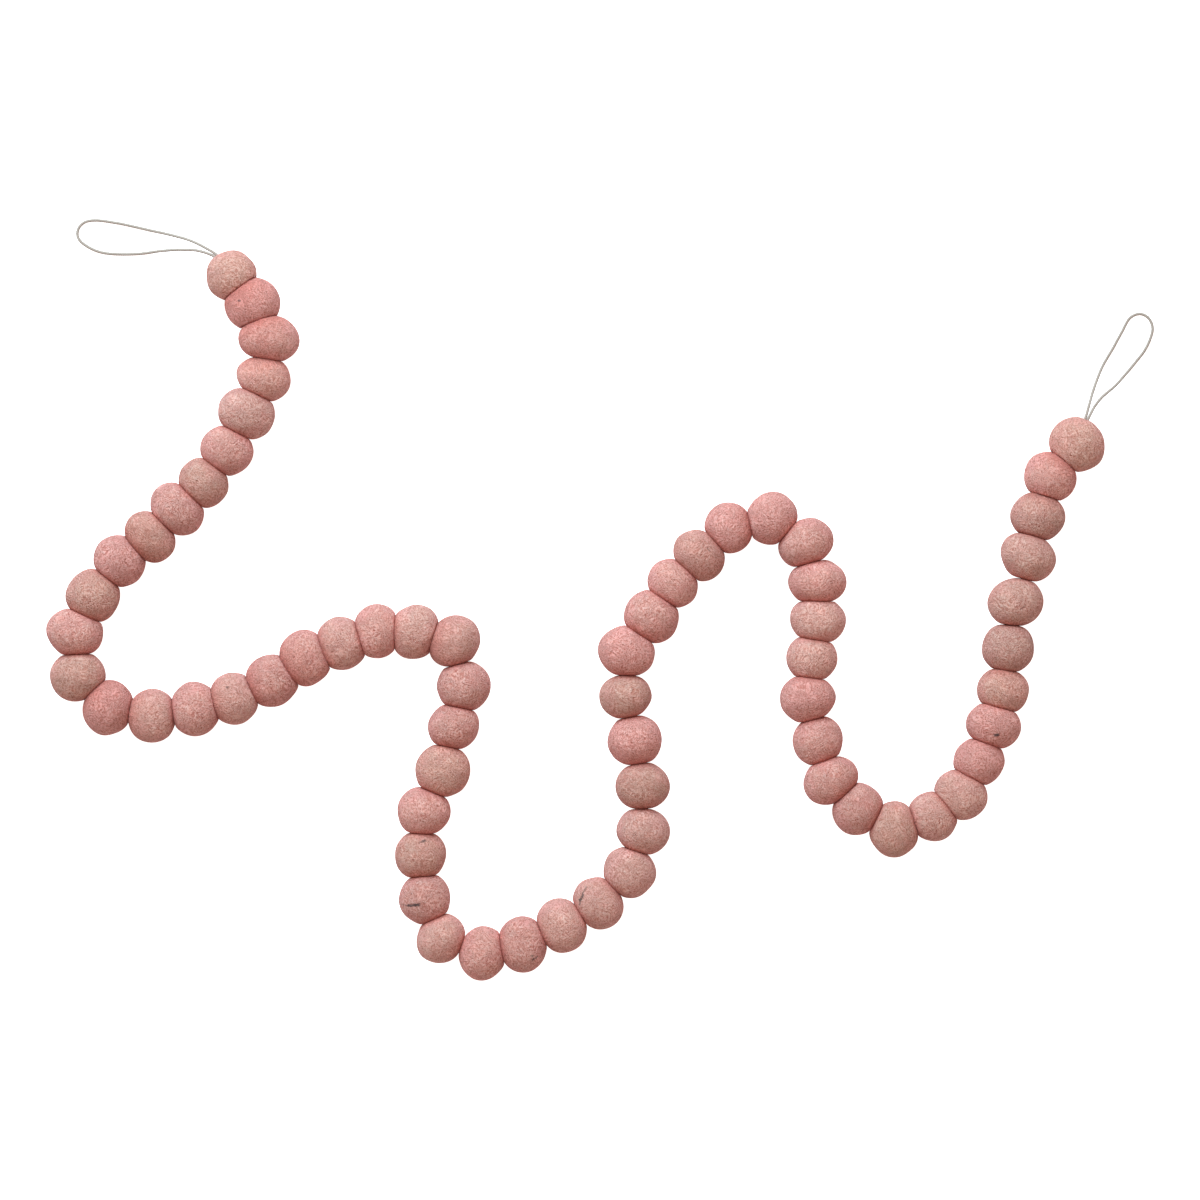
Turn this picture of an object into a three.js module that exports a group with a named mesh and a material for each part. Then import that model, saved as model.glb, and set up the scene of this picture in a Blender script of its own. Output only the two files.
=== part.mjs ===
// Felt ball garland: sixty-five wool felt balls threaded tight on one cotton string, with a
// hanging loop at each end, lying in a winding line on a flat surface.
// Sizes are in millimetres, +Z is up off the surface, and the origin is under the middle of the
// balls' box.

import * as THREE from "three";

// The string
const STRING_RADIUS = 0.75;
const STRING_SIDES = 8;
const PIECE_GAP = 0.34;
const BORE_RADIUS = 1.5;
const EXIT_RADIUS = 2.3;
const STRAND_OFFSET = 0.9;
const TAIL_DEPTH = 6;
const LOOP_STEPS = 34;

// The balls
const TYPICAL_TALL = 32.4;
const TALL_SHARE = 0.5;
const SETTLE = 0.5;
const FLAT_REACH = 1.9;
const CREASE_SHARPNESS = 16;
const LEAST_SHARE = 0.15;
const FELT_ROUGHNESS = 0.95;

// How closely a place on a surface is searched for, in halvings
const HALVINGS = 30;

// Where the points of a ball lie: angles round the string, in degrees from level, and shares of
// the way from one end of the ball to the other
const ROUND_ANGLES = [0, 30, 60, 90, 120, 150, 180, 218, 256, 284, 322];
const FREE_SHARES = [0.13, 0.37, 0.63, 0.87];
const FIRST_SHARES = [0.16, 0.33, 0.51, 0.71, 0.9];
const PRESSED_SHARES = [0, 0.6, 1];

// Colours of the wool and of the string
const TINTS = {
  rose: 0xc98f86,
  blush: 0xd4a398,
  sand: 0xc69a89,
  clay: 0xb08676,
  cotton: 0xd6cdc0,
};

// One row for each ball, from the left end of the string: the place of its middle, its width
// across the string, its length along the string before it is pressed, the angle of its width
// from +X in degrees, how much longer it is at that side than at the other, how far it gives way
// to the next ball (1 is fully dented round it, 0 keeps its own round) and its colour
const COLUMNS = ["x", "y", "across", "along", "turn", "egg", "gives", "tint"];
const BALL_ROWS = [
  [-213.7, 210.7, 31.8, 30.6, 38, 0, 0.85, "sand"],
  [-200.7, 193.1, 34.2, 34.0, 0, 0, 0.85, "rose"],
  [-190.3, 171.5, 38.0, 30.0, -8, 0, 0.85, "rose"],
  [-193.8, 147.2, 33.8, 28.5, -14, 0.08, 0.5, "blush"],
  [-204.4, 125.3, 36.0, 32.0, -20, 0, 0.5, "blush"],
  [-216.4, 102.5, 33.2, 31.0, -32, 0, 0.5, "rose"],
  [-231.1, 82.3, 32.5, 30.0, -42, 0, 0.5, "sand"],
  [-247.3, 65.9, 35.6, 30.0, -44, 0, 0.5, "rose"],
  [-264.0, 48.8, 34.5, 28.8, -47, 0, 0.15, "sand"],
  [-283.0, 33.8, 33.2, 31.5, -43, 0, 0.5, "rose"],
  [-299.4, 12.3, 33.7, 34.0, -32, 0, 0.4, "sand"],
  [-310.8, -10.8, 35.7, 30.8, -10, 0, 0.4, "rose"],
  [-309.0, -37.6, 34.8, 31.5, 5, 0, 0.85, "sand"],
  [-290.1, -57.1, 35.0, 31.0, 76, 0, 0.85, "rose"],
  [-262.8, -62.2, 33.8, 30.8, 88, 0, 0.5, "blush"],
  [-236.0, -58.1, 34.0, 31.0, 94, 0, 0.8, "rose"],
  [-212.2, -51.5, 32.8, 31.0, 100, 0, 0.8, "blush"],
  [-188.8, -40.3, 32.2, 34.0, 121, 0, 0.85, "rose"],
  [-168.0, -26.3, 35.3, 32.0, 106, 0, 0.75, "rose"],
  [-145.5, -17.5, 33.3, 32.0, 110, 0, 0.5, "blush"],
  [-123.3, -9.7, 34.1, 29.5, 88, 0, 0.7, "rose"],
  [-100.2, -10.0, 33.9, 31.5, 78, 0, 0.85, "blush"],
  [-75.6, -16.1, 34.5, 31.0, 45, 0, 0.5, "blush"],
  [-69.8, -43.9, 33.4, 32.0, 6, 0.06, 0.5, "rose"],
  [-75.9, -68.8, 32.7, 29.5, 8, 0, 0.5, "rose"],
  [-82.5, -96.1, 34.2, 33.5, -15, 0, 0.5, "sand"],
  [-94.2, -121.5, 33.0, 30.5, 6, -0.06, 0.5, "rose"],
  [-96.4, -148.6, 31.7, 31.3, 4, 0, 0.4, "sand"],
  [-93.8, -175.5, 32.0, 32.5, -5, 0, 0.6, "rose"],
  [-83.6, -200.1, 32.0, 29.5, 54, 0, 0.5, "blush"],
  [-58.0, -209.4, 33.5, 30.0, 82, 0, 0.7, "rose"],
  [-33.2, -203.7, 35.6, 31.0, 94, 0, 0.7, "rose"],
  [-8.8, -192.1, 35.0, 31.0, 116, 0, 0.5, "blush"],
  [13.8, -178.3, 34.1, 30.0, 125, 0, 0.3, "blush"],
  [33.3, -159.0, 32.7, 32.0, -32, 0, 0.6, "blush"],
  [41.8, -133.8, 33.2, 29.8, -6, 0, 0.5, "blush"],
  [41.2, -105.7, 33.6, 30.3, 3, 0, 0.5, "sand"],
  [36.4, -77.3, 34.0, 32.0, 11, 0, 0.5, "rose"],
  [30.5, -50.3, 33.0, 28.6, 6, 0, 0.5, "sand"],
  [31.3, -22.3, 35.5, 32.2, -12, 0, 0.75, "rose"],
  [46.8, -0.7, 34.4, 33.0, -32, 0, 0.5, "rose"],
  [60.0, 20.0, 32.6, 30.0, -38, 0, 0.5, "rose"],
  [76.2, 37.4, 33.6, 30.5, -44, 0, 0.6, "sand"],
  [95.0, 54.3, 32.0, 30.1, 112, 0, 0.25, "rose"],
  [121.3, 60.3, 33.3, 31.4, 42, 0, 0.5, "rose"],
  [142.5, 45.1, 35.3, 29.5, 28, 0, 0.5, "rose"],
  [149.8, 20.6, 36.3, 28.6, 3, 0, 0.4, "rose"],
  [150.0, -3.2, 34.8, 29.7, -10, 0, 0.5, "blush"],
  [146.1, -26.4, 32.0, 30.2, -16, 0, 0.6, "blush"],
  [143.7, -51.4, 34.5, 30.2, 4, -0.05, 0.5, "rose"],
  [150.0, -77.6, 31.2, 32.0, -20, 0, 0.5, "rose"],
  [157.9, -102.1, 34.8, 29.5, 26, 0, 0.25, "rose"],
  [174.7, -119.8, 33.3, 31.0, 48, 0, 0.35, "rose"],
  [197.2, -132.4, 35.3, 30.5, 92, -0.06, 0.5, "sand"],
  [221.2, -124.4, 31.5, 30.5, 115, 0, 0.4, "blush"],
  [238.4, -110.9, 33.7, 31.0, -30, 0, 0.4, "blush"],
  [249.9, -90.4, 32.0, 30.5, 5, 0, 0.5, "rose"],
  [258.8, -68.0, 34.5, 29.5, -14, 0, 0.5, "rose"],
  [264.6, -46.8, 32.3, 29.5, -10, 0, 0.3, "sand"],
  [268.1, -20.4, 32.4, 31.5, 0, 0, 0.5, "clay"],
  [272.4, 8.3, 34.9, 30.5, 13, 0, 0.5, "clay"],
  [280.2, 36.5, 35.6, 29.5, -28, 0, 0.5, "clay"],
  [286.4, 61.5, 33.9, 31.0, -5, 0, 0.2, "clay"],
  [294.1, 86.0, 33.2, 31.0, -28, 0, 0.2, "rose"],
  [310.7, 106.0, 35.4, 33.3, -45, 0, 0.5, "sand"],
];

// Balls that are felted onto the next one, so that each pair is one solid
const JOINED_TO_NEXT = [2, 18, 24, 31, 40, 46, 50, 57];

// The way out of the end balls, in degrees from +X
const FIRST_EXIT_TURN = 128;
const LAST_EXIT_TURN = 70;

// The loops lie on the surface: points by hand, out along one strand and back along the other
const FIRST_LOOP = [
  [-231.5, 229.0, 14.2],
  [-240.0, 233.1, 9.5],
  [-250.5, 236.4, 4.6],
  [-266.5, 240.2, 1.5],
  [-286.5, 244.6, 0.9],
  [-300.6, 246.2, 0.9],
  [-306.4, 244.9, 0.9],
  [-309.7, 241.8, 0.9],
  [-310.8, 237.9, 0.9],
  [-309.6, 234.2, 0.9],
  [-305.6, 230.6, 0.9],
  [-298.4, 227.0, 0.9],
  [-290.4, 225.4, 0.9],
  [-272.9, 225.3, 1.0],
  [-258.0, 227.0, 3.2],
  [-246.2, 227.3, 8.0],
  [-233.8, 226.2, 13.6],
];
const LAST_LOOP = [
  [318.3, 130.6, 14.6],
  [320.8, 138.2, 10.6],
  [324.6, 148.0, 5.6],
  [328.4, 156.2, 2.2],
  [334.2, 165.9, 0.9],
  [339.9, 176.3, 0.9],
  [345.4, 185.6, 0.9],
  [351.4, 187.9, 0.9],
  [356.6, 185.4, 0.9],
  [359.2, 179.4, 0.9],
  [358.1, 173.4, 0.9],
  [354.5, 165.5, 0.9],
  [349.1, 158.4, 0.9],
  [341.5, 149.4, 2.4],
  [335.3, 142.8, 6.0],
  [326.5, 135.4, 11.2],
  [322.0, 130.0, 14.0],
];

const UP = new THREE.Vector3(0, 0, 1);

// A level unit vector at an angle from +X
function levelDirection(degrees) {
  const radians = THREE.MathUtils.degToRad(degrees);
  return new THREE.Vector3(Math.cos(radians), Math.sin(radians), 0);
}

// The place where a falling value crosses zero
function crossing(value, low, high) {
  for (let step = 0; step < HALVINGS; step += 1) {
    const middle = (low + high) / 2;
    if (value(middle) > 0) {
      low = middle;
    } else {
      high = middle;
    }
  }
  return (low + high) / 2;
}

// One felt ball, as an egg-shaped round before its neighbours press on it
class Ball {
  constructor(row, number) {
    const size = Object.fromEntries(COLUMNS.map((name, column) => [name, row[column]]));
    const tall = TYPICAL_TALL * (1 - TALL_SHARE) + size.across * TALL_SHARE;
    this.number = number;
    this.tint = size.tint;
    this.gives = THREE.MathUtils.clamp(size.gives, LEAST_SHARE, 1 - LEAST_SHARE);
    this.egg = size.egg;
    this.halfAcross = size.across / 2;
    this.halfAlong = size.along / 2;
    this.halfTall = tall / 2;
    this.centre = new THREE.Vector3(size.x, size.y, tall / 2 - SETTLE);
    this.acrossAxis = levelDirection(size.turn);
    this.alongAxis = levelDirection(size.turn + 90);
  }

  // How far the unpressed surface is from the middle, in one direction
  ownRadius(direction) {
    const across = direction.dot(this.acrossAxis);
    const along = direction.dot(this.alongAxis);
    const halfAlong = this.halfAlong * (1 + this.egg * across);
    return 1 / Math.hypot(across / this.halfAcross, along / halfAlong, direction.z / this.halfTall);
  }

  // How deep a point is: 0 in the middle, 1 on the unpressed surface
  depth(point) {
    const offset = point.clone().sub(this.centre);
    const distance = offset.length();
    return distance === 0 ? 0 : distance / this.ownRadius(offset.divideScalar(distance));
  }
}

// The pressed face between a ball and the next one on the string
class Seam {
  constructor(ball, next) {
    this.ball = ball;
    this.next = next;
    this.axis = next.centre.clone().sub(ball.centre);
    this.distance = this.axis.length();
    this.axis.normalize();
    this.side = UP.clone().cross(this.axis).normalize();
    this.rise = this.axis.clone().cross(this.side);
    this.middle = this.point(0, 0);
    this.creases = ROUND_ANGLES.map((angle) => this.creaseRadius(angle));
  }

  // Above zero on the ball's side of the pressed face, below zero on the next ball's side
  balance(point) {
    const gives = this.ball.gives;
    return (1 - this.ball.depth(point)) * (1 - gives) - (1 - this.next.depth(point)) * gives;
  }

  // The way out from the string at an angle round it
  outward(angle) {
    const radians = THREE.MathUtils.degToRad(angle);
    const level = this.side.clone().multiplyScalar(Math.cos(radians));
    return level.addScaledVector(this.rise, Math.sin(radians));
  }

  // The point of the pressed face at a distance from the string
  point(radius, angle) {
    const start = this.ball.centre.clone().addScaledVector(this.outward(angle), radius);
    const along = (reach) => start.clone().addScaledVector(this.axis, reach);
    return along(crossing((reach) => this.balance(along(reach)), 0, this.distance));
  }

  // How far from the string both balls come out of the pressed face
  creaseRadius(angle) {
    const inside = (radius) => {
      const point = this.point(radius, angle);
      return 2 - this.ball.depth(point) - this.next.depth(point);
    };
    return crossing(inside, 0, Math.max(this.ball.halfTall, this.ball.halfAcross));
  }

  // A closed ring of points on the pressed face, set back by half the gap between the balls
  ring(share, setBack) {
    return ROUND_ANGLES.map((angle, index) => {
      const radius = THREE.MathUtils.lerp(BORE_RADIUS, this.creases[index], share);
      return this.point(radius, angle).addScaledVector(this.axis, setBack);
    });
  }

  // How far the pressed face is from the middle of one of its balls, in one direction
  reach(ball, direction) {
    const sign = ball === this.ball ? 1 : -1;
    const at = (distance) => ball.centre.clone().addScaledVector(direction, distance);
    const farAway = this.distance + ball.halfAcross;
    return crossing((distance) => sign * this.balance(at(distance)), 0, farAway);
  }
}

// The hole in an end ball where both strands of a loop come out
class Exit {
  constructor(ball, degrees) {
    this.direction = levelDirection(degrees);
    this.side = UP.clone().cross(this.direction);
    this.middle = ball.centre.clone().addScaledVector(this.direction, ball.ownRadius(this.direction));
  }

  // The closed ring round the hole, seen along the string towards the last ball
  ring(ball, inwards) {
    const side = UP.clone().cross(this.direction).multiplyScalar(inwards ? -1 : 1);
    return ROUND_ANGLES.map((angle) => {
      const radians = THREE.MathUtils.degToRad(angle);
      const offset = side.clone().multiplyScalar(Math.cos(radians) * EXIT_RADIUS);
      offset.addScaledVector(UP, Math.sin(radians) * EXIT_RADIUS);
      const direction = this.middle.clone().add(offset).sub(ball.centre).normalize();
      return ball.centre.clone().addScaledVector(direction, ball.ownRadius(direction));
    });
  }
}

// The ways along the string into a ball and out of it
function travel(ball) {
  const before = seams[ball.number - 2];
  const after = seams[ball.number - 1];
  return {
    into: before ? before.axis : firstExit.direction.clone().negate(),
    outOf: after ? after.axis : lastExit.direction,
  };
}

// A direction as its level turn, its angle back from that turn and its angle round the string
function readDirection(direction, axis) {
  const turn = Math.atan2(axis.y, axis.x);
  const ahead = levelDirection(THREE.MathUtils.radToDeg(turn));
  const side = UP.clone().cross(ahead);
  const polar = Math.acos(THREE.MathUtils.clamp(-direction.dot(ahead), -1, 1));
  return { turn, polar, roll: Math.atan2(direction.z, direction.dot(side)) };
}

// The nearest angle to another that points the same way
function nearAngle(angle, other) {
  return angle - 2 * Math.PI * Math.round((angle - other) / (2 * Math.PI));
}

// A direction part of the way along a ball's side, from one end of it to the other
function sweep(start, end, share) {
  const turn = THREE.MathUtils.lerp(start.turn, nearAngle(end.turn, start.turn), share);
  const polar = THREE.MathUtils.lerp(start.polar, end.polar, share);
  const roll = THREE.MathUtils.lerp(start.roll, nearAngle(end.roll, start.roll), share);
  const ahead = levelDirection(THREE.MathUtils.radToDeg(turn));
  const side = UP.clone().cross(ahead);
  const direction = ahead.multiplyScalar(-Math.cos(polar));
  direction.addScaledVector(side, Math.sin(polar) * Math.cos(roll));
  return direction.addScaledVector(UP, Math.sin(polar) * Math.sin(roll)).normalize();
}

// A ball's point in one direction, rounded into its creases and flat where it rests
function pressedPoint(ball, touching, direction, limit) {
  const reaches = touching.map((seam) => seam.reach(ball, direction));
  const powers = [ball.ownRadius(direction), ...reaches].map((reach) => reach ** -CREASE_SHARPNESS);
  const total = powers.reduce((sum, power) => sum + power, 0);
  const radius = Math.min(total ** (-1 / CREASE_SHARPNESS), limit);
  const point = ball.centre.clone().addScaledVector(direction, radius);
  point.z = point.z < FLAT_REACH ? 0 : point.z;
  return point;
}

// The same point for a place on a pressed face, which it never passes
function settle(ball, touching, point) {
  const offset = point.clone().sub(ball.centre);
  const distance = offset.length();
  return pressedPoint(ball, touching, offset.divideScalar(distance), distance);
}

// The rings of a ball's free surface between its two ends
function freeRings(ball, touching, startRing, endRing, shares) {
  const { into, outOf } = travel(ball);
  const read = (point, axis) => readDirection(point.clone().sub(ball.centre).normalize(), axis);
  const starts = startRing.map((point) => read(point, into));
  const ends = endRing.map((point) => read(point, outOf));
  return shares.map((share) =>
    starts.map((start, index) => {
      return pressedPoint(ball, touching, sweep(start, ends[index], share), Infinity);
    }),
  );
}

// A closed solid from rings of points, each joined to the next and the last to the first
function solidFromRings(rings) {
  const count = rings[0].length;
  const index = [];
  rings.forEach((ring, row) => {
    const nextRow = (row + 1) % rings.length;
    ring.forEach((point, column) => {
      const nextColumn = (column + 1) % count;
      const corners = [row * count + column, row * count + nextColumn];
      const above = [nextRow * count + column, nextRow * count + nextColumn];
      index.push(corners[0], corners[1], above[1], corners[0], above[1], above[0]);
    });
  });
  const geometry = new THREE.BufferGeometry();
  geometry.setFromPoints(rings.flat());
  geometry.setIndex(index);
  geometry.computeVertexNormals();
  return geometry;
}

// A mesh with its own felt or cotton material
function namedMesh(name, geometry, tint) {
  const material = new THREE.MeshStandardMaterial({ color: TINTS[tint], roughness: FELT_ROUGHNESS });
  const mesh = new THREE.Mesh(geometry, material);
  mesh.name = name;
  return mesh;
}

const balls = BALL_ROWS.map((row, index) => new Ball(row, index + 1));
const seams = balls.slice(0, -1).map((ball, index) => new Seam(ball, balls[index + 1]));
const firstExit = new Exit(balls[0], FIRST_EXIT_TURN);
const lastExit = new Exit(balls.at(-1), LAST_EXIT_TURN);

// The rings at one end of a run of balls, from the bore out to the crease
function endRings(ball, seam, exit, atStart) {
  if (!seam) {
    return [exit.ring(ball, atStart)];
  }
  const touching = [seams[ball.number - 2], seams[ball.number - 1]].filter(Boolean);
  const setBack = atStart ? PIECE_GAP / 2 : -PIECE_GAP / 2;
  return PRESSED_SHARES.map((share) =>
    seam.ring(share, setBack).map((point) => settle(ball, touching, point)),
  );
}

// One solid of one ball, or of two that are felted together
function ballRun(run) {
  const first = run[0];
  const last = run.at(-1);
  const rings = endRings(first, seams[first.number - 2], firstExit, true);
  const closing = endRings(last, seams[last.number - 1], lastExit, false).reverse();
  const bore = [];
  let start = rings.at(-1);
  run.forEach((ball) => {
    const touching = [seams[ball.number - 2], seams[ball.number - 1]].filter(Boolean);
    const seam = seams[ball.number - 1];
    const joined = ball !== last;
    const end = joined ? seam.ring(1, 0).map((point) => settle(ball, touching, point)) : closing[0];
    let shares = FREE_SHARES;
    if (touching.length === 1) {
      shares = ball === first ? FIRST_SHARES : FIRST_SHARES.map((share) => 1 - share).reverse();
    }
    rings.push(...freeRings(ball, touching, start, end, shares));
    if (joined) {
      rings.push(end);
      bore.push(seam.ring(0, 0));
    }
    start = end;
  });
  return solidFromRings([...rings, ...closing, ...bore]);
}

// A line through given points, straight between them
class StraightRuns extends THREE.Curve {
  constructor(points) {
    super();
    this.points = points;
  }

  getPoint(share, target = new THREE.Vector3()) {
    const place = THREE.MathUtils.clamp(share, 0, 1) * (this.points.length - 1);
    const index = Math.min(Math.floor(place), this.points.length - 2);
    return target.lerpVectors(this.points[index], this.points[index + 1], place - index);
  }

  getPointAt(share, target) {
    return this.getPoint(share, target);
  }

  getTangentAt(share, target) {
    return this.getTangent(share, target);
  }
}

// A length of string along a curve
function stringAlong(curve, steps) {
  const outline = new THREE.Shape();
  for (let side = 0; side < STRING_SIDES; side += 1) {
    const angle = (side / STRING_SIDES) * 2 * Math.PI;
    const corner = [STRING_RADIUS * Math.cos(angle), STRING_RADIUS * Math.sin(angle)];
    if (side === 0) {
      outline.moveTo(...corner);
    } else {
      outline.lineTo(...corner);
    }
  }
  outline.closePath();
  return new THREE.ExtrudeGeometry(outline, { steps, bevelEnabled: false, extrudePath: curve });
}

// A hanging loop: out of the end ball, round and back in beside itself, so that its strands do
// not cross
function loopString(exit, inner, route) {
  const inwards = inner.clone().sub(exit.middle).normalize();
  const tail = (offset, depth) => {
    const point = exit.middle.clone().addScaledVector(exit.side, offset);
    return point.addScaledVector(inwards, depth);
  };
  const places = route.map((place) => new THREE.Vector3(...place));
  const apart = places[0].clone().sub(places.at(-1));
  const offset = apart.dot(exit.side) > 0 ? STRAND_OFFSET : -STRAND_OFFSET;
  const points = [
    tail(offset, TAIL_DEPTH),
    tail(offset, 0),
    ...places,
    tail(-offset, 0),
    tail(-offset, TAIL_DEPTH),
  ];
  return stringAlong(new THREE.CatmullRomCurve3(points, false, "centripetal"), LOOP_STEPS);
}

// The string inside the balls, straight from one pressed face to the next
function coreString() {
  const end = (exit, inner) => {
    const inwards = inner.clone().sub(exit.middle).normalize();
    return exit.middle.clone().addScaledVector(inwards, TAIL_DEPTH + 2 * PIECE_GAP);
  };
  const places = seams.map((seam) => seam.middle);
  const points = [end(firstExit, places[0]), ...places, end(lastExit, places.at(-1))];
  return stringAlong(new StraightRuns(points), points.length - 1);
}

// The balls of a run, counted from one end of the string to the other
function ballRuns() {
  const runs = [];
  balls.forEach((ball) => {
    if (JOINED_TO_NEXT.includes(ball.number - 1)) {
      runs.at(-1).push(ball);
    } else {
      runs.push([ball]);
    }
  });
  return runs;
}

const garland = new THREE.Group();
ballRuns().forEach((run) => {
  const numbers = run.map((ball) => String(ball.number).padStart(2, "0"));
  const name = run.length > 1 ? `balls_${numbers.join("_")}` : `ball_${numbers[0]}`;
  garland.add(namedMesh(name, ballRun(run), run[0].tint));
});
garland.add(namedMesh("string_core", coreString(), "cotton"));
garland.add(namedMesh("string_loop_left", loopString(firstExit, seams[0].middle, FIRST_LOOP), "cotton"));
garland.add(namedMesh("string_loop_right", loopString(lastExit, seams.at(-1).middle, LAST_LOOP), "cotton"));

export default garland;
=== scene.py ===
"""Felt ball garland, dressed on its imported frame.

Wool felt balls are threaded tight on one cotton string that ends in a hanging loop at each side.
The balls' table and the loops' routes are in millimetres in the row frame, and meshes are made in
metres.
"""

import logging
import math
from dataclasses import dataclass, field
from enum import Enum

import bpy
import numpy as np
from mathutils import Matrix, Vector


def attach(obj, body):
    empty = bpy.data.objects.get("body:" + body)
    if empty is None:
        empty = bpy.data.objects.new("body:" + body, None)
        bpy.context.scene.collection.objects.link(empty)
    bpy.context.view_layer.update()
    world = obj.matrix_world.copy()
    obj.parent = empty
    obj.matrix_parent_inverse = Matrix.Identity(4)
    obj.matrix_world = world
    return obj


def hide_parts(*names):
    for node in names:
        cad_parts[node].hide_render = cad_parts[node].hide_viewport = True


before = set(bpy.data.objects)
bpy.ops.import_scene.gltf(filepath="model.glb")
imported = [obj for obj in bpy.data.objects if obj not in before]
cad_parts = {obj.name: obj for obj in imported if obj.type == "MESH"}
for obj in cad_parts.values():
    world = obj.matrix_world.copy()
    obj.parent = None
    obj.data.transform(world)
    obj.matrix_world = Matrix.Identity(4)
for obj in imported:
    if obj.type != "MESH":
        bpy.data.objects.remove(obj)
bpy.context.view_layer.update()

MM = 0.001

# What each ball's mesh holds for its colour, point by point: closeness to a crease, which sets the
# painted crease shade, a tone and a pinker dye
PAINTED_CREASE_SHADE = "crease"
TONE = "tone"
PINKER = "pinker"

logging.basicConfig(level=logging.INFO, format="%(message)s")
log = logging.getLogger("garland")


class Tint(Enum):
    """The dyed wools, by the record's material slot."""

    ROSE = "felt_rose"
    BLUSH = "felt_blush"
    SAND = "felt_sand"
    CLAY = "felt_clay"


class End(Enum):
    """The two ends of the string."""

    LEFT = "left"
    RIGHT = "right"


ROSE, BLUSH, SAND, CLAY = Tint.ROSE, Tint.BLUSH, Tint.SAND, Tint.CLAY

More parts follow.
